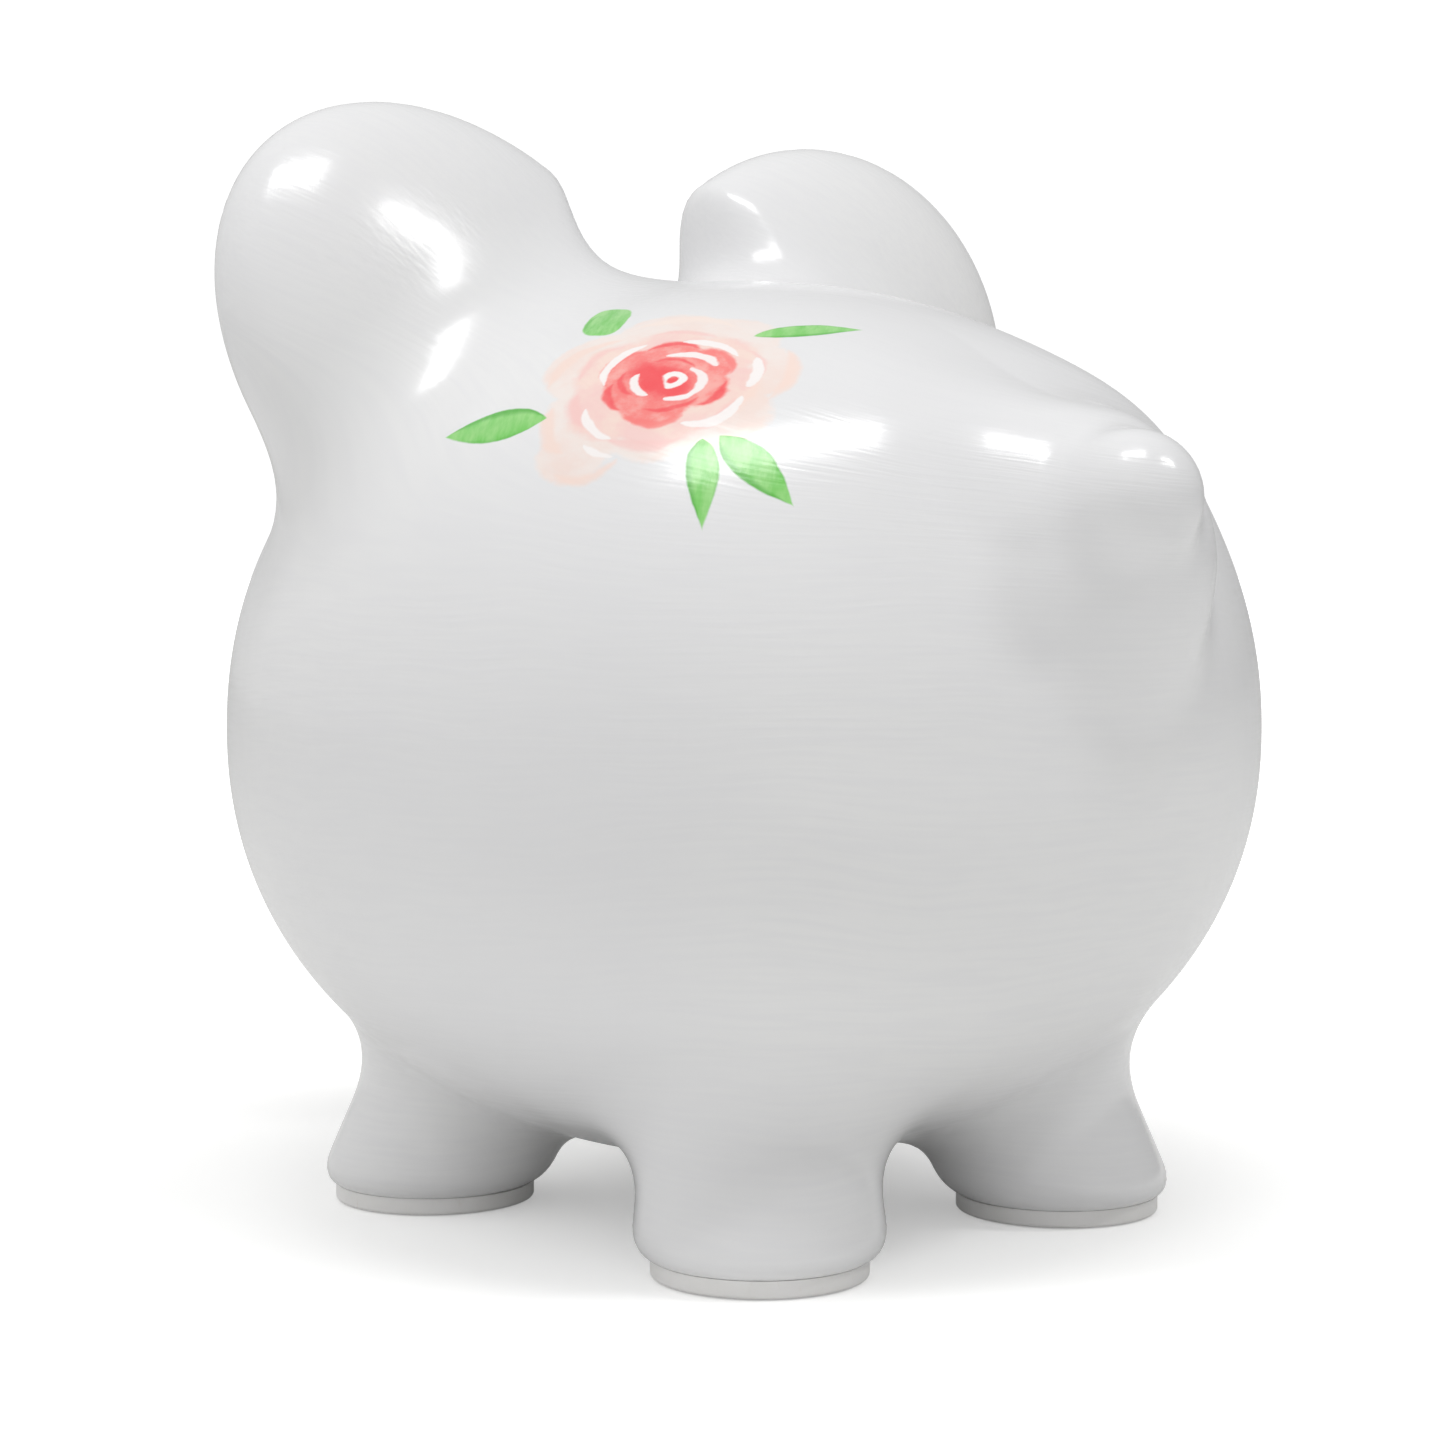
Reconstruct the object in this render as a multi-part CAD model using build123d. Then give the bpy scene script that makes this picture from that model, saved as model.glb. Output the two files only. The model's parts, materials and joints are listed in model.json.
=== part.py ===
from build123d import *
import os
from math import atan2, copysign, cos, degrees, exp, hypot, radians, sin, sqrt

# A press-moulded ceramic piggy bank standing on the floor plane. Millimetres, +Z up, the snout
# looks along -Y and +X is the pig's left. The origin is on the floor, midway between the
# front of the snout and the tip of the tail.

# Body
body_width = 185.0      # across the flanks
body_length = 186.0     # chest to rump
crown_height = 167.0    # top of the back above the floor
belly_height = 10.5     # lowest point of the belly above the floor
girth_height = 87.0     # height of the widest section
fullness = 2.12         # 2 is an ellipsoid, more is fuller in the shoulder
wall = 4.0              # fired wall
base_wall = 6.5         # thicker where the belly carries the stopper seat

# Snout and tail reach the same distance past the body
reach = 14.5
snout_width = 54.0
snout_height = 42.0
snout_level = 90.0      # height of the snout's centre
snout_front = 6.0       # front wall of the hollow snout
snout_flare = 0.06      # growth of each half axis per unit of length towards the body
snout_rounding = 5.0
snout_root = 16.0       # how deep the snout starts inside the body
nostril_width = 7.0
nostril_height = 10.0
nostril_depth = 3.5
nostril_spacing = 18.0
tail_radius = 18.5
tail_height = 42.0
tail_level = 119.5
nub_radius = 8.5
nub_side = 4.6          # the tail's tip curls towards +X
nub_rise = 8.4          # above the coil's centre

# Ears, each in its own axes: width along u, thickness along v, length along w
ear_width = 86.0
ear_thickness = 36.9
ear_length = 53.0       # from the widest section to the tip
ear_root = 70.0         # from the widest section to the buried end
ear_taper = 0.5
ear_neck = 11.0         # how quickly the ear narrows towards its root
ear_x = 43.7            # centre of the widest section
ear_y = -25.0
ear_sink = 3.2          # depth of that centre below the body's surface
ear_turn = (24.4, 55.9, 21.6)

# Legs and the pads under them
leg_x = 38.0
leg_y = 43.5
foot_radius = 22.0
ankle_reach = 16.0      # from the foot's centre out to where the leg meets the belly
thigh_bury = 10.0       # how far the leg runs on above the belly at its outer side
thigh_flare = 8.0       # added radius at the buried end
splay = 0.23            # inward shift per unit of height
slim_out = 0.19         # loss of radius per unit of height, along the diagonal
slim_side = 0.12        # the same, across the diagonal
foot_rounding = 6.0
sole_wall = 5.0
pad_inset = 3.8         # the pad's rim inside the foot's
pad_height = 3.0
pad_edge = 0.6

# Coin slot, along the spine on the crown
slot_length = 36.0
slot_width = 5.0
slot_y = -2.0

# Stopper under the belly
hole_radius = 16.0
plug_gap = 0.08         # running fit in the hole
seat_gap = 0.1          # flange to seat when pushed home
plug_length = 8.0
plug_wall = 2.5
plug_lead = 0.8         # chamfer that starts the plug in the hole
seat_lip = 5.0          # width of the seat round the hole
seat_depth = 2.4
flange_gap = 0.3
flange_height = 2.0
recess_rim = 2.0        # between the cup's bore and the finger recess
tab_width = 5.0
tab_depth = 1.2

vent_radius = 3.0       # lets each hollow limb breathe into the body while firing

half_x, half_y = body_width / 2, body_length / 2
seat_z = belly_height + seat_depth
seat_radius = hole_radius + seat_lip


def body_solid(inset, base_inset):
    """Superelliptic egg about Z, inset from the outside by a wall, stretched along Y."""
    rx, up = half_x - inset, crown_height - girth_height - inset
    down = girth_height - belly_height - base_inset
    points = []
    for step in range(25):
        turn = radians(7.5 * step)
        r = rx * abs(sin(turn)) ** (2 / fullness)
        h = copysign(abs(cos(turn)) ** (2 / fullness), cos(turn))
        points.append((r, 0, girth_height + h * (up if h > 0 else down)))
    points[0], points[-1] = (0, 0, girth_height + up), (0, 0, girth_height - down)
    side = Spline(points, tangents=[(1, 0, 0), (-1, 0, 0)])
    profile = make_face([side, Line(points[-1], points[0])])
    return scale(revolve(profile, Axis.Z), by=(1, (half_y - inset) / rx, 1))


def rump_y(z):
    """Y of the outer surface on the rear centre line at height z."""
    half = crown_height - girth_height if z > girth_height else girth_height - belly_height
    h = min(1, abs(z - girth_height) / half)
    return half_y * (1 - h**fullness) ** (1 / fullness)


def skin_height(x, y):
    """How far the outer surface bulges from the girth at x, y, as a share of its poles."""
    rho = min(1, hypot(x / half_x, y / half_y))
    return (1 - rho**fullness) ** (1 / fullness)


def back_z(x, y):
    return girth_height + (crown_height - girth_height) * skin_height(x, y)


def belly_z(x, y):
    return girth_height - (girth_height - belly_height) * skin_height(x, y)


def place_ear(shape):
    """Turned about X, then Y, then Z, and moved to the left ear's centre."""
    about_x, about_y, about_z = ear_turn
    turn = Rot(Z=about_z) * Rot(Y=about_y) * Rot(X=about_x)
    return Pos(ear_x, ear_y, back_z(ear_x, ear_y) - ear_sink) * turn * shape


def ear_solid(inset):
    """Flattened teardrop: half an ellipsoid on a lofted root that narrows across u only."""
    half, thick = ear_width / 2 - inset, ear_thickness / 2 - inset
    tip, root = ear_length - inset, ear_root - inset
    dome = scale(Sphere(1), by=(half, thick, tip))
    dome &= Pos(0, 0, tip / 2) * Box(4 * half, 4 * thick, tip)
    sections = []
    for share in (0, 0.03, 0.07, 0.12, 0.18, 0.26, 0.4, 0.65):
        narrow = 1 - ear_taper * (1 - exp(-((share * root / ear_neck) ** 2)))
        round_off = sqrt(1 - share**2)
        oval = Ellipse(half * narrow * round_off, thick * round_off)
        sections.append(Plane((0, 0, -share * root)) * oval)
    return place_ear(dome + loft(sections))


def ear(outer):
    """Hollow left ear, open where it is luted to the body."""
    return ear_solid(0) - ear_solid(wall) - outer


def limb_centre(z):
    """Centre of the rear left leg at height z, which leans in towards the belly."""
    lean = 1 - splay * z / hypot(leg_x, leg_y)
    return leg_x * lean, leg_y * lean


def leg_solid(inset, bottom):
    """Leg lofted through ovals that slim down, then flare where they meet the belly."""
    out = degrees(atan2(leg_y, leg_x))
    edge = 1 + ankle_reach / hypot(leg_x, leg_y)
    top = belly_z(leg_x * edge, leg_y * edge) + thigh_bury
    sections = []
    for share in (0, 0.25, 0.5, 0.75, 1):
        z = bottom + share * (top - bottom)
        flare = thigh_flare * (z / top) ** 4 - inset
        oval = Ellipse(foot_radius - slim_out * z + flare, foot_radius - slim_side * z + flare)
        sections.append(Pos(*limb_centre(z), z) * Rot(Z=out) * oval)
    return loft(sections)


def leg(outer):
    """Hollow rear left leg with a rounded foot, open where it is luted to the belly."""
    solid = leg_solid(0, pad_height)
    solid = fillet(solid.faces().sort_by(Axis.Z)[0].edges(), foot_rounding)
    return solid - leg_solid(wall, pad_height + sole_wall) - outer


def pad():
    """Rear left pad under the foot."""
    at = Pos(*limb_centre(pad_height), pad_height / 2)
    disc = Cylinder(foot_radius - pad_inset, pad_height)
    return at * fillet(disc.edges().group_by(Axis.Z)[0], pad_edge)


def snout_oval(y, inset):
    """Upright oval across the snout's axis, growing slightly towards the body."""
    grow = snout_flare * (y + half_y + reach) - inset
    plane = Plane((0, y, snout_level), x_dir=(1, 0, 0), z_dir=(0, -1, 0))
    return plane * Ellipse(snout_width / 2 + grow, snout_height / 2 + grow)


def snout(outer):
    """Hollow stub snout with a rounded rim and two nostril dimples."""
    front, back = -half_y - reach, snout_root - half_y
    solid = loft([snout_oval(front, 0), snout_oval(back, 0)])
    solid = fillet(solid.faces().sort_by(Axis.Y)[0].edges(), snout_rounding)
    solid -= loft([snout_oval(front + snout_front, wall), snout_oval(back, wall)])
    dimple = Plane((0, front, snout_level), x_dir=(1, 0, 0), z_dir=(0, 1, 0))
    dimple *= Ellipse(nostril_width / 2, nostril_height / 2)
    for x in (-nostril_spacing / 2, nostril_spacing / 2):
        solid -= Pos(x, 0, 0) * extrude(dimple, nostril_depth)
    return solid - outer


def tail(outer):
    """Curled tail: a round coil with a smaller curl rising from its upper side."""
    root = rump_y(tail_level)
    coil = scale(Sphere(1), by=(tail_radius, tail_radius, tail_height / 2))
    coil = Pos(0, root, tail_level) * coil
    tip = half_y + reach - nub_radius
    high = tail_level + nub_rise
    curl = Pos(nub_side, tip, high) * Sphere(nub_radius)
    neck = Plane((nub_side, tip, high), x_dir=(1, 0, 0), z_dir=(0, -1, 0))
    curl += extrude(neck * Circle(nub_radius), tip - root)
    return coil + curl - outer


def vents():
    """One drilling through the body wall into each hollow limb."""
    drill = Cylinder(vent_radius, 4 * wall)
    ear_vent = Pos(ear_x, ear_y, back_z(ear_x, ear_y)) * drill
    x, y = limb_centre(belly_z(leg_x, leg_y))
    leg_vent = Pos(x, y, belly_z(x, y)) * drill
    snout_vent = Pos(0, -half_y, snout_level) * Rot(X=90) * drill
    left = [ear_vent, leg_vent, mirror(leg_vent, Plane.XZ)]
    return left + [mirror(v, Plane.YZ) for v in left] + [snout_vent]


def body_shell(outer):
    """Hollow body with the coin slot, the stopper's hole and seat, and the vents."""
    slot = Pos(0, slot_y, crown_height) * Rot(0, 0, 90) * SlotOverall(slot_length, slot_width)
    shell = outer - body_solid(wall, base_wall)
    shell -= extrude(slot, 4 * wall, both=True)
    shell -= Pos(0, 0, belly_height) * Cylinder(hole_radius, 4 * base_wall)
    shell -= Pos(0, 0, seat_z - seat_depth) * Cylinder(seat_radius, 2 * seat_depth)
    for drill in vents():
        shell -= drill
    return shell


def halves(shell):
    """The shell as pressed in a two-part mould: left and right halves luted on the YZ plane."""
    size = 2 * max(crown_height, body_width, body_length)
    for side in (1, -1):
        yield shell & Pos(side * size / 2, 0, 0) * Box(size, size, size)


def stopper():
    """Soft cup-shaped plug with a flange in the seat and a pull tab across a finger recess."""
    top = seat_z - seat_gap
    bore = hole_radius - plug_gap - plug_wall
    flange = Pos(0, 0, top - flange_height / 2)
    flange *= Cylinder(seat_radius - flange_gap, flange_height)
    plug = Pos(0, 0, top + plug_length / 2) * Cylinder(hole_radius - plug_gap, plug_length)
    plug = chamfer(plug.edges().group_by(Axis.Z)[-1], plug_lead)
    cup = Pos(0, 0, top + plug_length / 2) * Cylinder(bore, plug_length)
    recess = Pos(0, 0, top - flange_height) * Cylinder(bore - recess_rim, 2 * tab_depth)
    tab = Pos(0, 0, top - flange_height + tab_depth / 2)
    tab *= Box(tab_width, 2 * bore - recess_rim, tab_depth)
    return flange + plug - cup - recess + tab


def build():
    """Every node by name, in place."""
    outer = body_solid(0, 0)
    left_ear, rear_leg, rear_pad = ear(outer), leg(outer), pad()
    nodes = {"snout": snout(outer), "tail": tail(outer)}
    nodes["body_left_half"], nodes["body_right_half"] = halves(body_shell(outer))
    nodes["ear_left"], nodes["ear_right"] = left_ear, mirror(left_ear, Plane.YZ)
    for kind, shape in (("leg", rear_leg), ("pad", rear_pad)):
        nodes[f"{kind}_rear_left"] = shape
        nodes[f"{kind}_rear_right"] = mirror(shape, Plane.YZ)
        nodes[f"{kind}_front_left"] = mirror(shape, Plane.XZ)
        nodes[f"{kind}_front_right"] = mirror(mirror(shape, Plane.YZ), Plane.XZ)
    nodes["stopper"] = stopper()
    return nodes


os.makedirs("parts", exist_ok=True)
for name, shape in build().items():
    export_step(shape, f"parts/{name}.step")
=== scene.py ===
import json
import math

import bpy
import numpy as np
from mathutils import Matrix, Vector


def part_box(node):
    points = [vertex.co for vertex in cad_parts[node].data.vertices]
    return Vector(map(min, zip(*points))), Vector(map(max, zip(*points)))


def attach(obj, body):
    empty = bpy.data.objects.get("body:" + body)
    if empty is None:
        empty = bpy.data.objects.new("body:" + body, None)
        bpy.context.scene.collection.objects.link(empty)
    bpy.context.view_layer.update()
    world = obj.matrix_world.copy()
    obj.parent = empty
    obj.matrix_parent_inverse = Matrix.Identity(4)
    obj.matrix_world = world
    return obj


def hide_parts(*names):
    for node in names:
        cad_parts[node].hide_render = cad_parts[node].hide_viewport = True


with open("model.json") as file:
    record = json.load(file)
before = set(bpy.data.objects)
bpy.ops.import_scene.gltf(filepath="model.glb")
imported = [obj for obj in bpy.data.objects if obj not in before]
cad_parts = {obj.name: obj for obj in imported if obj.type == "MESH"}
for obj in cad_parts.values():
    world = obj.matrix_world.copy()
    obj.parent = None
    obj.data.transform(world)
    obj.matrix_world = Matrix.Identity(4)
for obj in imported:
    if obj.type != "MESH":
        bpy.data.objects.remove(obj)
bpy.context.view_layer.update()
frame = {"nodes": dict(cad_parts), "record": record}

# A white ceramic piggy bank with hand-painted roses on its shoulders. Shapes are worked out in
# millimetres in the frame's own axes: +Z up, the snout along -Y, +X the pig's left.
MM = 0.001


def spread(names):
    """Joint box of some CAD nodes, in millimetres, as two arrays."""
    boxes = [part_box(n) for n in names]
    low = np.min([b[0] for b in boxes], axis=0) / MM
    high = np.max([b[1] for b in boxes], axis=0) / MM
    return low, high


parts = frame["record"]["subparts"]
glazed = [p["node"] for p in parts if p["material_slot"] == "glaze"]
pads = [p["node"] for p in parts if p["node"].startswith("pad_")]

shell_low, shell_high = spread(["body_left_half", "body_right_half"])
ear_low, ear_high = spread(["ear_left"])
tail_low, tail_high = spread(["tail"])
snout_low, snout_high = spread(["snout"])
pad_low, pad_high = spread(["pad_rear_left"])
stop_low, stop_high = spread(["stopper"])

# ---------------------------------------------------------------- driving values

wall, base_wall = 4.0, 6.5
half_x, half_y = shell_high[0], shell_high[1]
crown = shell_high[2]
girth = 0.5 * (crown + shell_low[2]) - 2.54      # level of the widest section
belly = shell_low[2] - 1.6                       # before the seat is sunk into it
fullness = 2.12
ear_at = ear_low + np.array([0.343, 0.529, 0.3616]) * (ear_high - ear_low)
ear_half, ear_thick, ear_tip = 43.0, 18.45, 53.0
ear_neck, ear_taper = 15.4, 0.42                 # length and share of the narrowing under it
ear_turn = np.radians((24.4, 55.9, 21.6))
foot = 0.5 * (pad_low + pad_high)[:2] * 1.014    # centre of the rear left foot on the floor
foot_radius, foot_base = 22.1, pad_high[2] - 0.5
leg_lean, leg_slim_out, leg_slim_round = 9.17, 8.16, 5.0    # over the leg's own 40 mm of height
leg_height, leg_top = 40.0, 45.0
tail_at = np.array([0.0, tail_low[1] + 10.3, tail_high[2] - 21.0])
curl_at = np.array([7.2, tail_high[1] - 11.3, tail_high[2] - 12.5])
coil_radii, curl_radius = (20.0, 16.5, 22.0), 11.0
haunch_at, haunch_swell, haunch_spread = (28.0, 68.0, 140.0), 3.2, 450.0
ear_join, leg_join, curl_join, snout_join = 18.2, 13.7, 5.0, 6.0
snout_front = snout_low[1]
snout_level = 0.5 * (snout_low[2] + snout_high[2])
slot_at, slot_half, slot_reach = -2.0, 2.5, 18.0
hole, seat_radius = 16.0, 21.0
flange_top = stop_low[2] + 2.0
seat_level = flange_top + 0.1

# ---------------------------------------------------------------- distance formulas


def join(a, b, k):
    """The nearer of two distances, eased by k/4 where they are equal, so the forms flow together."""
    h = np.clip(0.5 + 0.5 * (b - a) / k, 0, 1)
    return b + (a - b) * h - k * h * (1 - h)


def meet(a, b, k):
    """The farther of two distances, with its edge eased in the same way."""
    return -join(-a, -b, k)


def oval(parts_and_radii):
    """k(k-1)/|grad k| of k = root of the sum of (part/radius) squared."""
    k = np.sqrt(sum((q / r) ** 2 for q, r in parts_and_radii))
    slope = np.sqrt(sum((q / r**2) ** 2 for q, r in parts_and_radii))
    return k * (k - 1) / np.maximum(slope, 1e-9)


def egg(x, y, z, inset=0.0, base_inset=0.0):
    """Superelliptic egg: (rho^n + h^n)^(1/n) = 1, rho round Z and h up or down from the girth."""
    a, b = half_x - inset, half_y - inset
    c = np.where(z > girth, crown - girth - inset, girth - belly - base_inset)
    rho = np.maximum(np.sqrt((x / a) ** 2 + (y / b) ** 2), 1e-9)
    h = np.abs(z - girth) / c
    k = np.maximum((rho**fullness + h**fullness) ** (1 / fullness), 1e-6)
    side, climb = (rho / k) ** (fullness - 1), (h / k) ** (fullness - 1)
    slope = np.sqrt((side * x / (a * a * rho)) ** 2 + (side * y / (b * b * rho)) ** 2 + (climb / c) ** 2)
    return (k - 1) / np.maximum(slope, 1e-6)


def turned(x, y, z, at, turn):
    """Coordinates about `at` in axes turned about X, then Y, then Z."""
    (cx, sx), (cy, sy), (cz, sz) = [(math.cos(t), math.sin(t)) for t in turn]
    about_x = np.array([[1, 0, 0], [0, cx, -sx], [0, sx, cx]])
    about_y = np.array([[cy, 0, sy], [0, 1, 0], [-sy, 0, cy]])
    about_z = np.array([[cz, -sz, 0], [sz, cz, 0], [0, 0, 1]])
    axes = about_z @ about_y @ about_x
    x, y, z = x - at[0], y - at[1], z - at[2]
    return [x * axes[0, i] + y * axes[1, i] + z * axes[2, i] for i in range(3)]


def ears(x, y, z):
    """Flattened teardrop: an oval whose width falls as a bell curve along a neck under its widest part."""
    u, v, w = turned(np.abs(x), y, z, ear_at, ear_turn)
    under = np.clip(w, -ear_neck, 0)
    width = ear_half * (1 - ear_taper * (1 - np.exp(-((1.5 * np.minimum(w, 0) / ear_neck) ** 2))))
    return oval([(u, width), (v, ear_thick), (w - under, ear_tip)])


def legs(x, y, z):
    """Leaning oval columns: the centre moves in and both radii fall evenly with height. Round underneath."""
    out = foot / np.hypot(*foot)
    t = np.clip(z / leg_height, -0.5, 1.6)
    dx, dy = np.abs(x) - foot[0], np.abs(y) - foot[1]
    along = dx * out[0] + dy * out[1] + leg_lean * t
    across = dy * out[0] - dx * out[1]
    d = 0.93 * oval([(along, foot_radius - leg_slim_out * t), (across, foot_radius - leg_slim_round * t)])
    return meet(meet(d, foot_base - z, 6.5), z - leg_top, 10)


def coil(x, y, z):
    """Flattened ball of the tail's coil, half buried in the rump."""
    a, b, c = coil_radii
    return oval([(x - tail_at[0], a), (y - tail_at[1] + 1.1, b), (z - tail_at[2] + 2.0, c)])


def curl(x, y, z):
    """Ball of the tail's tip, up and to the left of the coil."""
    return oval([(q - at, curl_radius) for q, at in zip((x, y, z), curl_at)])


def snout(x, y, z):
    """Upright oval drum growing towards the body, with an eased rim and two nostril dimples."""
    grow = 0.06 * (y - snout_front)
    d = oval([(x, 27.0 + grow), (z - snout_level, 21.0 + grow)])
    d = meet(meet(d, snout_front - y, 9.0), y + 60, 4)
    dimple = oval([(np.abs(x) - 9.0, 3.6), (y - snout_front, 3.8), (z - snout_level, 5.2)])
    return meet(d, -dimple, 2.2)


def openings(x, y, z):
    """Coin slot through the crown, and the stopper's hole and seat through the belly."""
    slot = np.hypot(x, np.maximum(np.abs(y - slot_at) - (slot_reach - slot_half), 0)) - slot_half
    slot = np.maximum(slot, girth + 30 - z)
    r = np.hypot(x, y)
    bore = np.maximum(r - hole, z - girth + 30)
    seat = np.maximum(r - seat_radius, z - seat_level)
    return slot, np.minimum(bore, seat)


def outside(x, y, z):
    """The outside before it is hollowed: the egg, swollen at the haunches, eased into the rest."""
    a, b, c = haunch_at
    haunch = haunch_swell * np.exp(-((np.abs(x) - a) ** 2 + (y - b) ** 2 + (z - c) ** 2) / haunch_spread)
    d = join(egg(x, y, z) - haunch, ears(x, y, z), ear_join)
    d = join(d, legs(x, y, z), leg_join)
    coil_join = 9.0 + 15.0 * np.clip((z - tail_at[2]) / 22.0, 0, 1)      # softer over the top of the coil
    d = join(d, coil(x, y, z), coil_join)
    d = join(d, curl(x, y, z), curl_join)
    return join(d, snout(x, y, z), snout_join)


def pig(x, y, z):
    """Outside, hollowed by a smaller egg, with eased lips round the slot and the seat."""
    slot, bore = openings(x, y, z)
    d = np.maximum(outside(x, y, z), -egg(x, y, z, wall, base_wall))
    return meet(meet(d, -slot, 2.6), -bore, 1.4)


def plug(x, y, z):
    """Turned cup with a flange: eased drums joined, a bore from above, and a pull tab over a recess."""
    r = np.hypot(x, y)

    def drum(radius, low, high, ease):
        return meet(r - radius, np.maximum(low - z, z - high), ease)

    cup = drum(hole - 0.1, flange_top - 1, stop_high[2], 1.6)
    cup = meet(cup, -drum(hole - 2.6, flange_top, 90, 0.6), 0.8)
    disc = drum(seat_radius - 0.3, stop_low[2], flange_top, 1.2)
    ring = np.hypot(r - 16.4, z - stop_low[2] - 0.15) - 0.7
    d = meet(join(disc, cup, 0.8), -ring, 0.5)
    recess = drum(11.4, stop_low[2] - 3, stop_low[2] + 1.2, 0.8)
    d = meet(d, -recess, 0.7)
    tab = meet(np.abs(x) - 2.5 - 0.5 * np.cos(y / 5.5), np.abs(y) - 12.2, 1.0)
    tab = meet(tab, np.abs(z - stop_low[2] - 0.75) - 0.7, 0.7)
    ribs = 0.12 * np.cos(y * 2.6) * (np.abs(y) < 8)
    return join(d, tab + ribs, 0.6)


# ---------------------------------------------------------------- skins


def rule(*marks):
    """Lattice positions along one axis from (from, step), (from, step), ..., (to, 0)."""
    runs = [
        np.linspace(a, b, max(1, round((b - a) / step)), endpoint=False)
        for (a, step), (b, _) in zip(marks, marks[1:])
    ]
    return np.concatenate(runs + [[marks[-1][0]]])


def skin(form, axes, rounds=10):
    """Closed quad skin where a distance formula changes sign over a lattice.

    Every cell whose corners differ in sign holds one vertex, and every lattice edge whose ends differ
    joins the four cells round it. The vertices are then spread evenly, each towards the mean of its
    neighbours, and carried back to the surface down the formula's slope after every round."""
    full = form(*np.meshgrid(*[a.astype(np.float32) for a in axes], indexing="ij")) < 0
    count = sum(
        full[i : len(axes[0]) - 1 + i, j : len(axes[1]) - 1 + j, k : len(axes[2]) - 1 + k].astype(np.int8)
        for i in (0, 1) for j in (0, 1) for k in (0, 1)
    )
    cells = np.nonzero((count > 0) & (count < 8))
    ids = np.full(count.shape, -1)
    ids[cells] = np.arange(len(cells[0]))
    middles = [0.5 * (a[1:] + a[:-1]) for a in axes]
    p = np.stack([middles[i][cells[i]] for i in range(3)], axis=1)
    quads = []
    for a in range(3):
        order = (a, (a + 1) % 3, (a + 2) % 3)
        s, w = full.transpose(order), ids.transpose(order)
        low, high = s[:-1, 1:-1, 1:-1], s[1:, 1:-1, 1:-1]
        i, j, k = np.nonzero(low != high)
        q = np.stack([w[i, j, k], w[i, j + 1, k], w[i, j + 1, k + 1], w[i, j, k + 1]], axis=1)
        quads.append(np.where(low[i, j, k][:, None], q, q[:, ::-1]))
    quads = np.concatenate(quads)
    step = min(float(np.min(np.diff(a))) for a in axes)

    def settle(p, times, e=0.01):
        for _ in range(times):
            here = form(*p.T)
            g = np.stack([(form(*(p + e * n).T) - here) / e for n in np.eye(3)], axis=1)
            move = here / np.maximum((g**2).sum(1), 0.05)
            p = p - g * np.clip(move, -step, step)[:, None]
        return p

    a, b = quads.ravel(), np.roll(quads, -1, axis=1).ravel()
    n = len(p)
    weight = np.bincount(a, minlength=n) + np.bincount(b, minlength=n)
    p = settle(p, 2)
    for _ in range(rounds):
        mean = np.stack(
            [
                (np.bincount(a, p[b, i], n) + np.bincount(b, p[a, i], n)) / np.maximum(weight, 1)
                for i in range(3)
            ],
            axis=1,
        )
        p = settle(p + 0.6 * (mean - p), 1)
    return settle(p, 3), quads


def piece(name, points, quads, body, materials, which=None):
    """A mesh object at the origin from points in millimetres, riding on a CAD body."""
    mesh = bpy.data.meshes.new(name)
    mesh.from_pydata((points * MM).tolist(), [], quads.tolist())
    for m in materials:
        mesh.materials.append(m)
    if which is not None:
        mesh.polygons.foreach_set("material_index", which.astype(np.int32))
    mesh.polygons.foreach_set("use_smooth", np.ones(len(quads), bool))
    mesh.update()
    o = bpy.data.objects.new(name, mesh)
    bpy.context.scene.collection.objects.link(o)
    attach(o, body)
    return o


# ---------------------------------------------------------------- shader maths


class Term:
    """A socket. Arithmetic on it adds Math nodes, and node() adds any other node to its tree."""

    def __init__(self, tree, out=None):
        self.tree, self.out = tree, out

    def node(self, kind, settings=None, inputs=None, output=0):
        n = self.tree.nodes.new(kind)
        for key, value in (settings or {}).items():
            setattr(n, key, value)
        for key, value in (inputs or {}).items():
            if isinstance(value, Term):
                self.tree.links.new(value.out, n.inputs[key])
            else:
                n.inputs[key].default_value = value
        return Term(self.tree, n.outputs[output] if n.outputs else None)

    def math(self, operation, *values):
        return self.node("ShaderNodeMath", {"operation": operation}, dict(enumerate(values)))

    def __add__(self, other):
        return self.math("ADD", self, other)

    __radd__ = __add__

    def __sub__(self, other):
        return self.math("SUBTRACT", self, other)

    def __rsub__(self, other):
        return self.math("SUBTRACT", other, self)

    def __mul__(self, other):
        return self.math("MULTIPLY", self, other)

    __rmul__ = __mul__

    def __truediv__(self, other):
        return self.math("DIVIDE", self, other)

    def __abs__(self):
        return self.math("ABSOLUTE", self)

    def __pow__(self, other):
        return self.math("POWER", self, other)


def larger(a, b):
    return a.math("MAXIMUM", a, b)


def smaller(a, b):
    return a.math("MINIMUM", a, b)


def rise(x, low, high):
    """0 below low, 1 above high, eased between."""
    ends = {"Value": x, "From Min": low, "From Max": high}
    return x.node("ShaderNodeMapRange", {"interpolation_type": "SMOOTHSTEP"}, ends)


def blend(factor, a, b):
    """Colour a where factor is 0, b where it is 1."""
    return factor.node("ShaderNodeMix", {"data_type": "RGBA"}, {0: factor, 6: a, 7: b}, output=2)


def dot(v, w):
    return v.node("ShaderNodeVectorMath", {"operation": "DOT_PRODUCT"}, {0: v, 1: w}, output=1)


def stretch(v, w):
    return v.node("ShaderNodeVectorMath", {"operation": "MULTIPLY"}, {0: v, 1: w})


def shift(v, w):
    return v.node("ShaderNodeVectorMath", {"operation": "ADD"}, {0: v, 1: w})


def noise(v, scale, detail=2.0, rough=0.5, output=0):
    values = {"Vector": v, "Scale": scale, "Detail": detail, "Roughness": rough}
    return v.node("ShaderNodeTexNoise", {}, values, output)


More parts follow.
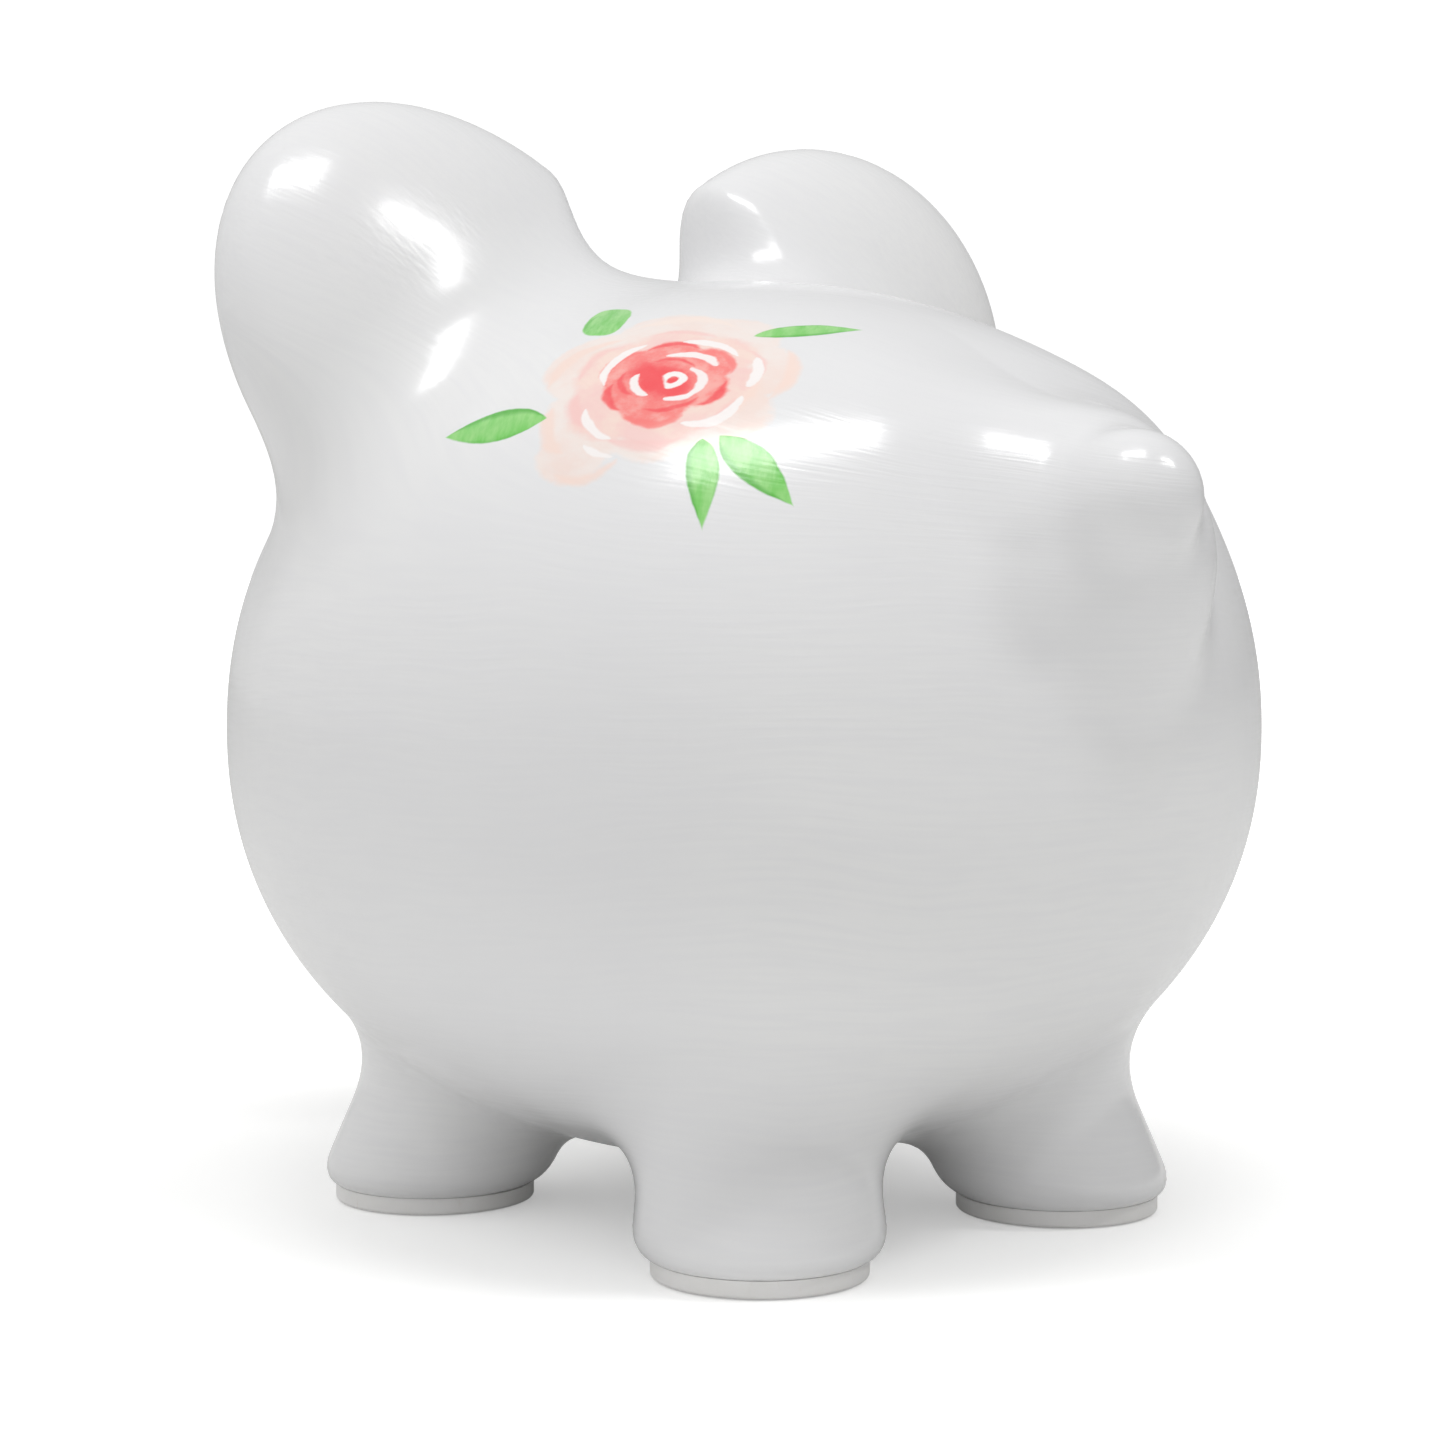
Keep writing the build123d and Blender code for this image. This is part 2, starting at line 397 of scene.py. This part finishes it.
def vector(x, y, z=0.0):
    one = next(t for t in (x, y, z) if isinstance(t, Term))
    return one.node("ShaderNodeCombineXYZ", {}, {0: x, 1: y, 2: z})


def tint(r, g, b):
    """Display values 0-255 as a linear colour."""
    c = [v / 255 for v in (r, g, b)]
    return tuple(v / 12.92 if v <= 0.04045 else ((v + 0.055) / 1.055) ** 2.4 for v in c) + (1.0,)


def fresh(name):
    """Material with an empty tree, its shader and the place on the surface."""
    m = bpy.data.materials.new(name)
    m.use_nodes = True
    m.node_tree.nodes.clear()
    base = Term(m.node_tree)
    place = base.node("ShaderNodeTexCoord", output=3)
    return m, base, place


def finish(base, inputs):
    shader = base.node("ShaderNodeBsdfPrincipled", {}, inputs)
    base.node("ShaderNodeOutputMaterial", {}, {0: shader})


def ridge(base, height, depth):
    """Bump of a height in 0..1, depth in metres."""
    return base.node("ShaderNodeBump", {}, {"Strength": 1.0, "Distance": depth, "Height": height})


# ---------------------------------------------------------------- painted decoration


def stroke(u, v, a, b, c, width, soft=0.35, blunt=0.6):
    """Tapered brush mark along the circle through three points: 1 on it, 0 off it."""
    (ax, ay), (bx, by), (cx, cy) = a, b, c
    d = 2 * (ax * (by - cy) + bx * (cy - ay) + cx * (ay - by))
    ox = ((ax**2 + ay**2) * (by - cy) + (bx**2 + by**2) * (cy - ay) + (cx**2 + cy**2) * (ay - by)) / d
    oy = ((ax**2 + ay**2) * (cx - bx) + (bx**2 + by**2) * (ax - cx) + (cx**2 + cy**2) * (bx - ax)) / d
    radius = math.hypot(ax - ox, ay - oy)
    mid = math.atan2(by - oy, bx - ox)

    def off(px, py):
        return math.remainder(math.atan2(py - oy, px - ox) - mid, 2 * math.pi)

    first, last = sorted((off(ax, ay), off(cx, cy)))
    half = 0.5 * (last - first)
    mid += 0.5 * (first + last)
    s, t = math.sin(mid), math.cos(mid)
    dx, dy = u - ox, v - oy
    turn = dx.math("ARCTAN2", dy * t - dx * s, dx * t + dy * s) * (1 / half)
    taper = larger(1 - turn * turn, 0.0) ** blunt * width
    reach = (dx * dx + dy * dy) ** 0.5
    return rise(taper - abs(reach - radius), 0.0, soft)


def blots(u, v, discs, warp, soft=0.5):
    """Scalloped patch: 1 inside any of the discs (x, y, radius), with a wavering edge."""
    nearest = None
    for x, y, r in discs:
        dx, dy = u - x, v - y
        d = (dx * dx + dy * dy) ** 0.5 - r
        nearest = d if nearest is None else smaller(nearest, d)
    return 1 - rise(nearest + warp, -soft, soft)


def leaf(u, v, base, tip, half, skew=0.45):
    """Lens along base to tip. Returns the mask and the share of the half width reached."""
    dx, dy = tip[0] - base[0], tip[1] - base[1]
    length = math.hypot(dx, dy)
    along = ((u - base[0]) * (dx / length) + (v - base[1]) * (dy / length)) * (1 / length)
    across = (v - base[1]) * (dx / length) - (u - base[0]) * (dy / length)
    s = smaller(larger(along, 0.0), 1.0)
    p, q = 2 * skew, 2 * (1 - skew)
    top = (skew**p) * ((1 - skew) ** q)
    width = (s**p) * ((1 - s) ** q) * (half / top)
    return rise(width - abs(across), 0.0, 0.45), across / larger(width, 0.4)


RED, CORAL, ROSE = tint(250, 72, 80), tint(254, 128, 124), tint(255, 176, 168)
BLUSH, PEACH, CREAM = tint(252, 205, 200), tint(253, 226, 214), tint(254, 236, 226)
WHITE = tint(255, 250, 248)
LEAF, LEAF_PALE, LEAF_DEEP = tint(112, 206, 86), tint(158, 224, 134), tint(72, 174, 52)


def shoulder(place):
    """Flat coordinates u, v in millimetres on each shoulder's rose: u back and v up the shoulder."""
    left_at, right_at = (52.9, 36.8, 146.6), (-57.0, 35.0, 143.6)
    e1, e2 = Vector((-0.5635, 0.8261, -0.0022)), Vector((-0.6481, -0.4404, 0.6213))
    turn = math.radians(-18)
    m1, m2 = Vector((-e1.x, e1.y, e1.z)), Vector((-e2.x, e2.y, e2.z))
    r1 = m1 * math.cos(turn) + m2 * math.sin(turn)
    r2 = m2 * math.cos(turn) - m1 * math.sin(turn)

    def flat(at, axis):
        return dot(shift(place, tuple(-MM * c for c in at)), tuple(axis)) * (1 / MM)

    x = dot(place, (1.0, 0.0, 0.0))
    side = x.math("GREATER_THAN", x, 0.0)
    u = flat(left_at, e1) * side + flat(right_at, r1) * (1 - side)
    v = flat(left_at, e2) * side + flat(right_at, r2) * (1 - side)
    return u, v


def roses(place, ground):
    """The ground colour with a rose and its leaves painted over it on both shoulders."""
    u0, v0 = shoulder(place)
    flat = vector(u0, v0)
    waver = noise(flat, 0.16, 3.0, 0.55, output=1)
    wu = dot(waver, (1.0, 0.0, 0.0)) - 0.5
    wv = dot(waver, (0.0, 1.0, 0.0)) - 0.5
    u, v = u0 + wu * 2.2, v0 + wv * 2.2
    wash = noise(flat, 0.09, 4.0, 0.6)
    fine = noise(flat, 0.55, 3.0, 0.6)
    rough_edge = (fine - 0.5) * 1.6
    back = rise(dot(place, (0.0, 1.0, 0.0)), -0.012, -0.006)
    high = rise(dot(place, (0.0, 0.0, 1.0)), 0.095, 0.1)
    keep = back * high
    colour = ground

    def lay(mask, tone):
        nonlocal colour
        colour = blend(mask * keep, colour, tone)

    # outer petals, thin wash
    outer = blots(
        u, v,
        [(-11, 6, 10.5), (-2, 13.5, 9.5), (8, 13, 8.5), (13, 4, 8.0), (10, -6.5, 8.5), (0, -9, 9.0),
         (-9, -7, 10.0), (-12.5, -15.5, 6.0), (0, 2, 15)],
        rough_edge, 0.7,
    )
    lay(outer * (0.46 + wash * 0.42), blend(rise(wash, 0.38, 0.62), CREAM, PEACH))
    petals = [
        ((-20, 1), (-17.5, 9), (-9.5, 14), 1.8, PEACH), ((-9, 17.5), (0, 21), (9, 18), 1.7, CREAM),
        ((18, 11), (20.3, 4), (17.5, -4), 1.9, PEACH), ((16, -9.5), (11, -13.5), (4, -14), 1.7, CREAM),
        ((-18, -4), (-17.8, -10.5), (-14, -16), 1.9, PEACH), ((-15, -19), (-10, -21), (-5, -17), 1.5, PEACH),
    ]
    for a, b, c, width, tone in petals:
        lay(stroke(u, v, a, b, c, width, 1.2) * 0.75, tone)
    # middle petals
    middle = blots(
        u, v, [(-7, 4, 8.5), (-1, 9, 7.0), (7, 7.5, 6.5), (8, -1, 7.5), (0, -6, 9.0), (-7, -5, 8.5)],
        rough_edge * 1.2, 1.1,
    )
    lay(middle * (0.55 + wash * 0.5), blend(rise(wash, 0.4, 0.62), BLUSH, PEACH))
    for a, b, c, width in [
        ((-14.5, 2), (-14, 7), (-9.5, 11.5), 1.3), ((-14, -1.5), (-13.5, -7), (-9.5, -11.2), 1.6),
        ((-5, 14.5), (0.5, 15.7), (6.5, 13.6), 1.2), ((-7.5, -13), (-1, -15), (5, -13.2), 1.7),
        ((12.2, -3.5), (10.6, -7.8), (6, -11.8), 1.4), ((15.3, 2), (14.9, 6.5), (11.5, 10.3), 1.0),
    ]:
        lay(stroke(u, v, a, b, c, width, 1.1) * (0.4 + 0.55 * fine), BLUSH)
    # heart of the rose
    heart_wash = noise(flat, 0.2, 4.0, 0.62)
    heart = blots(
        u, v,
        [(-5.2, 3.4, 6.2), (-0.5, 6.6, 5.6), (5.2, 4.4, 5.4), (5.8, -1.2, 5.0), (-0.8, -4.6, 6.0),
         (-4.6, -1.4, 5.6)],
        rough_edge * 0.7, 0.5,
    )
    core = blots(u, v, [(-1, 0.6, 4.2), (-3.6, 2.6, 3.0), (1.8, -1.8, 3.2)], rough_edge * 1.4, 1.8)
    lay(heart * 0.96, blend(rise(heart_wash, 0.36, 0.66), CORAL, ROSE))
    lay(heart * core * 0.92, RED)
    for a, b, c, width, tone in [
        ((-10.2, 2), (-9.2, 6.6), (-5.2, 8.8), 1.1, CORAL), ((-5, 9.2), (0, 11.6), (4.6, 9.4), 0.9, RED),
        ((5.4, 9.0), (9.4, 6.4), (10.4, 2), 1.0, CORAL), ((10, 0.4), (9.6, -3.2), (6, -5.6), 1.0, RED),
        ((4.4, -8.2), (-1, -10.2), (-5.4, -7.4), 1.2, CORAL), ((-8.6, 0.4), (-9.2, -3.6), (-6, -6.4), 1.1, RED),
        ((-3.4, 5.2), (1, 6.2), (4.4, 3.6), 0.8, RED), ((-6.8, 3.6), (-7.2, -0.6), (-4.6, -3.4), 0.9, RED),
        ((-3, -6.4), (2, -6.8), (6.4, -3.6), 0.9, RED),
    ]:
        lay(stroke(u, v, a, b, c, width, 0.7) * (0.5 + 0.5 * fine), tone)
    # white accents
    for a, b, c, width in [
        ((-4.3, 2.6), (-5.0, -1.0), (-2.0, -3.2), 0.95), ((3.3, 3.9), (5.9, 1.2), (4.3, -3.7), 1.05),
        ((5.4, -2.6), (3.4, -4.2), (0.5, -4.3), 0.85), ((-1.4, 7.1), (3.6, 7.7), (7.9, 4.3), 1.1),
        ((-10.4, -0.2), (-9.6, 6.8), (-5.1, 11.6), 1.05), ((0.7, 12.1), (5.4, 11.6), (10.7, 7.6), 1.15),
        ((13.7, 7.6), (14.5, 3.3), (13.4, -1.1), 1.2), ((4.0, -10.1), (9.4, -9.4), (13.0, -3.4), 1.15),
        ((-12.1, -6.0), (-10.3, -10.9), (-6.4, -13.4), 1.0), ((-11.3, -14.3), (-8.4, -16.4), (-5.8, -17), 0.8),
    ]:
        lay(stroke(u, v, a, b, c, width, 0.45, 0.4) * (0.82 + 0.26 * wash), WHITE)
    dx, dy = u - 1.0, v - 0.5
    ring = (dx * dx + dy * dy) ** 0.5
    lay(rise(0.95 - abs(ring - 1.6), 0.0, 0.45) * rise(dx * 0.9 + dy * 0.4, -1.5, -0.9), WHITE)
    # leaves
    grain = noise(stretch(flat, (0.5, 0.16, 1.0)), 1.0, 3.0, 0.6)
    for base, tip, half, skew, pale in [
        ((11.7, 14.8), (29.0, 23.0), 2.6, 0.42, 0.25),
        ((-18.4, -6.7), (-37.2, -5.4), 3.9, 0.45, 0.35), ((8.4, -13.2), (10.4, -30.4), 2.9, 0.36, 0.2),
        ((10.8, -12.4), (24.4, -24.2), 3.5, 0.42, 0.3),
    ]:
        mask, across = leaf(u0 + wu * 0.9, v0 + wv * 0.9, base, tip, half, skew)
        tone = blend(rise(grain, 0.3, 0.7), LEAF, LEAF_PALE)
        tone = blend(pale * rise(1 - abs(across), 0.1, 0.8), tone, LEAF_PALE)
        rim = rise(abs(across - 0.12), 0.55, 0.95)
        lay(mask, blend(rim * 0.75, tone, LEAF_DEEP))
    du, dv = u0 + wu + 14.8, v0 + wv - 22.9
    a, b = abs(du - dv * 0.12) / 3.9, abs(dv + du * 0.35) / 6.2
    lay(1 - rise(a**2.8 + b**2.8, 0.82, 1.1), blend(rise(grain, 0.3, 0.7), LEAF, LEAF_PALE))
    lay(stroke(u0 + wu, v0 + wv, (-17.6, 18.4), (-18.2, 22.5), (-16.8, 27.0), 0.5, 0.5) * 0.45, LEAF_DEEP)
    return colour


def eyes(place, colour):
    """A pair of small painted eyes above the snout, each with a spark of white."""
    x = abs(dot(place, (1000.0, 0.0, 0.0)))
    z = dot(place, (0.0, 0.0, 1000.0))
    front = rise(dot(place, (0.0, -1.0, 0.0)), 0.03, 0.034)
    a, b = (x - 25.0) / 3.6, (z - 122.0) / 5.0
    d = (a * a + b * b) ** 0.5
    colour = blend((1 - rise(d, 0.93, 1.05)) * front, colour, tint(38, 34, 36))
    a, b = (x - 23.9) / 1.1, (z - 124.2) / 1.3
    d = (a * a + b * b) ** 0.5
    colour = blend((1 - rise(d, 0.85, 1.1)) * front, colour, tint(250, 250, 250))
    lash = stroke(x, z, (27.6, 126.0), (30.6, 128.2), (32.0, 131.4), 0.55, 0.35)
    lash = larger(lash, stroke(x, z, (25.4, 127.6), (27.3, 130.2), (27.6, 133.4), 0.55, 0.35))
    return blend(lash * front, colour, tint(38, 34, 36))


# ---------------------------------------------------------------- materials


def white_glaze():
    """Brushed white paint under a clear glaze: long shallow brush ridges, level round the sides."""
    m, base, place = fresh("white_glaze")
    drift = noise(place, 14.0, 2.0, 0.5, output=1)
    drift = stretch(shift(drift, (-0.5, -0.5, -0.5)), (0.012, 0.012, 0.012))
    lean = rise(dot(place, (0.0, 0.0, 1.0)), 0.11, 0.155) * dot(place, (-0.3, 0.44, 0.0))
    loose = shift(shift(place, drift), vector(0.0, 0.0, lean))
    level = noise(stretch(loose, (70.0, 70.0, 1000.0)), 1.0, 1.0, 0.5)
    # over the crown the ridges run askew instead of level
    askew = vector(dot(loose, (0.72, 0.69, 0.0)), dot(loose, (-0.69, 0.72, 0.0)), dot(loose, (0.0, 0.0, 1.0)))
    top = noise(stretch(askew, (900.0, 70.0, 800.0)), 1.0, 1.0, 0.5)
    up = rise(dot(place, (0.0, 0.0, 1.0)), 0.152, 0.168)
    ridges = level * (1 - up) + top * up
    pores = noise(place, 900.0, 2.0, 0.5)
    pool = noise(place, 22.0, 3.0, 0.5)
    cloud = noise(place, 9.0, 3.0, 0.5)
    ground = blend(rise(cloud, 0.35, 0.65), tint(238, 238, 239), tint(242, 242, 242))
    ground = blend(rise(ridges, 0.3, 0.75) * 0.35, ground, tint(235, 235, 237))
    colour = eyes(place, roses(place, ground))
    height = ridges + pores * 0.04 + pool * 3.6
    finish(
        base,
        {
            "Base Color": colour,
            "Roughness": 0.13 + ridges * 0.12 + pool * 0.06,
            "IOR": 1.5,
            "Specular IOR Level": 0.5,
            "Coat Weight": 0.25,
            "Coat Roughness": 0.12,
            "Normal": ridge(base, height, 0.000042),
        },
    )
    return m


def bare_clay():
    """Unglazed inside: chalky, faintly mottled, with casting grain."""
    m, base, place = fresh("bare_clay")
    mottle = noise(place, 60.0, 4.0, 0.6)
    grain = noise(place, 1400.0, 2.0, 0.6)
    colour = blend(rise(mottle, 0.3, 0.7), tint(226, 220, 212), tint(236, 231, 224))
    finish(
        base,
        {"Base Color": colour, "Roughness": 0.78 + grain * 0.14, "Normal": ridge(base, grain + mottle, 0.00008)},
    )
    return m


def soft_rubber(name, low, high, gloss, dirt):
    """Moulded rubber or vinyl: satin, finely pebbled, slightly clouded, a little handled."""
    m, base, place = fresh(name)
    cloud = noise(place, 120.0, 3.0, 0.55)
    pebble = place.node("ShaderNodeTexVoronoi", {"feature": "SMOOTH_F1"}, {"Vector": place, "Scale": 1600.0})
    scuff = noise(stretch(place, (300.0, 900.0, 300.0)), 1.0, 4.0, 0.65)
    colour = blend(rise(cloud, 0.32, 0.68), low, high)
    colour = blend(rise(scuff, 0.58, 0.78) * 0.5, colour, dirt)
    finish(
        base,
        {
            "Base Color": colour,
            "Roughness": gloss + 0.2 * cloud + 0.08 * scuff,
            "IOR": 1.48,
            "Normal": ridge(base, pebble * 0.5 + scuff * 0.4, 0.00006),
        },
    )
    return m


# ---------------------------------------------------------------- pieces

glaze, clay = white_glaze(), bare_clay()
points, quads = skin(
    pig,
    (
        rule((-98, 1.95), (-24, 1.5), (-5, 0.8), (5, 1.5), (24, 1.95), (98, 0)),
        rule((-111, 1.4), (-92, 1.95), (84, 1.6), (111, 0)),
        rule((-1, 1.2), (22, 1.95), (160, 1.4), (170, 1.95), (201, 0)),
    ),
)
middle = points[quads].mean(axis=1)
inner = egg(*middle.T, wall, base_wall) < 0.6
inner &= outside(*middle.T) < -1.5
ceramic = piece("pig_ceramic", points, quads, "pig", [glaze, clay], inner)
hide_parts(*glazed)

vinyl = soft_rubber("stopper_vinyl", tint(214, 216, 214), tint(226, 227, 224), 0.34, tint(196, 196, 192))
points, quads = skin(
    plug,
    (
        rule((-21.6, 0.5), (21.6, 0)),
        rule((-21.6, 0.5), (21.6, 0)),
        rule((stop_low[2] - 0.8, 0.3), (flange_top + 0.6, 0.5), (stop_high[2] + 0.8, 0)),
    ),
    rounds=6,
)
cork = piece("belly_stopper", points, quads, "stopper", [vinyl])
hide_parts("stopper")

rubber = soft_rubber("pad_rubber", tint(246, 245, 243), tint(250, 249, 248), 0.42, tint(236, 232, 226))
for name in pads:
    o = frame["nodes"][name]
    for s in o.material_slots:
        s.material = rubber
    if not o.material_slots:
        o.data.materials.append(rubber)

# ---------------------------------------------------------------- stage, light, camera

floor_mesh = bpy.data.meshes.new("floor")
ring = np.linspace(0, 2 * np.pi, 96, endpoint=False)
floor_mesh.from_pydata(
    [(6 * math.cos(t), 6 * math.sin(t), -0.0002) for t in ring], [], [list(range(96))]
)
floor = bpy.data.objects.new("floor", floor_mesh)
bpy.context.scene.collection.objects.link(floor)
m, base, place = fresh("pale_floor")
far = base.node("ShaderNodeVectorMath", {"operation": "LENGTH"}, {0: place}, output=1)
# painted light: seen by the camera the floor glows, a little near the pig and more farther out, so it reads
# white and its cast shadow stays light
painted_floor_glow = base.node("ShaderNodeLightPath") * (0.34 + rise(far, 0.14, 0.9) * 0.5)
paper = base.node(
    "ShaderNodeBsdfPrincipled",
    {},
    {
        "Base Color": blend(noise(place, 3.0), tint(238, 238, 237), tint(241, 241, 240)),
        "Roughness": 0.9,
        "Specular IOR Level": 0.1,
        "Emission Color": (1.0, 1.0, 1.0, 1.0),
        "Emission Strength": painted_floor_glow,
    },
)
# seen from underneath, the floor is clear, so the belly and the stopper can be looked at
under = base.node("ShaderNodeNewGeometry", output=6)
clear = base.node("ShaderNodeBsdfTransparent")
cover = base.node("ShaderNodeMixShader", {}, {0: under, 1: paper, 2: clear})
base.node("ShaderNodeOutputMaterial", {}, {0: cover})
floor_mesh.materials.append(m)

world = bpy.data.worlds.new("studio")
world.use_nodes = True
world.node_tree.nodes.clear()
room = Term(world.node_tree)
seen = room.node("ShaderNodeLightPath")
way = room.node("ShaderNodeTexCoord", output=0)
glow = 0.50 + dot(way, (0.20, -0.19, 0.10))
backdrop = room.node("ShaderNodeBackground", {}, {0: (1, 1, 1, 1), 1: glow * (1 - seen) + seen * 1.06})
room.node("ShaderNodeOutputWorld", {}, {0: backdrop})
bpy.context.scene.world = world
bpy.context.scene.view_settings.view_transform = "Standard"


def toward(azimuth, elevation):
    """Unit vector from the pig to a viewer or light at this azimuth and elevation."""
    a, e = math.radians(azimuth), math.radians(elevation)
    return Vector((math.sin(a) * math.cos(e), -math.cos(a) * math.cos(e), math.sin(e)))


def aim(o, place, target, along=None):
    """Put o at a place with its -Z axis on the target, and its X axis nearest a direction if given one."""
    back = (place - target).normalized()
    turn = back.to_track_quat("Z", "Y").to_matrix()
    if along is not None:
        up = back.cross(Vector(along)).normalized()
        turn = Matrix((up.cross(back), up, back)).transposed()
    o.matrix_world = Matrix.Translation(place) @ turn.to_4x4()


def softbox(name, direction, distance, along, length, width, power):
    """Rectangular light in a direction from the middle of the pig, its long side along a direction."""
    light = bpy.data.lights.new(name, "AREA")
    light.shape, light.size, light.size_y, light.energy = "RECTANGLE", length, width, power
    o = bpy.data.objects.new(name, light)
    bpy.context.scene.collection.objects.link(o)
    middle = Vector((0, 0, 0.09))
    aim(o, middle + distance * Vector(direction).normalized(), middle, along)


softbox("overhead", (0.17, 0.20, 0.92), 1.1, (-0.54, 0.46, -0.09), 0.56, 0.24, 4.2)
softbox("window", (-0.36, 0.585, 0.71), 1.2, (-0.22, 0.04, -0.14), 0.32, 0.13, 2.0)

view_az, view_el = 136.44, 3.68
sideways = Vector((math.cos(math.radians(view_az)), math.sin(math.radians(view_az)), 0))
look = sideways * (-3.76 * MM) + Vector((0, 0, 87.74 * MM))
lens = bpy.data.cameras.new("camera")
lens.sensor_width, lens.lens = 36.0, 80.45
lens.clip_start, lens.clip_end = 0.01, 50.0
camera = bpy.data.objects.new("camera", lens)
bpy.context.scene.collection.objects.link(camera)
aim(camera, look + 585.83 * MM * toward(view_az, view_el), look)
bpy.context.scene.camera = camera
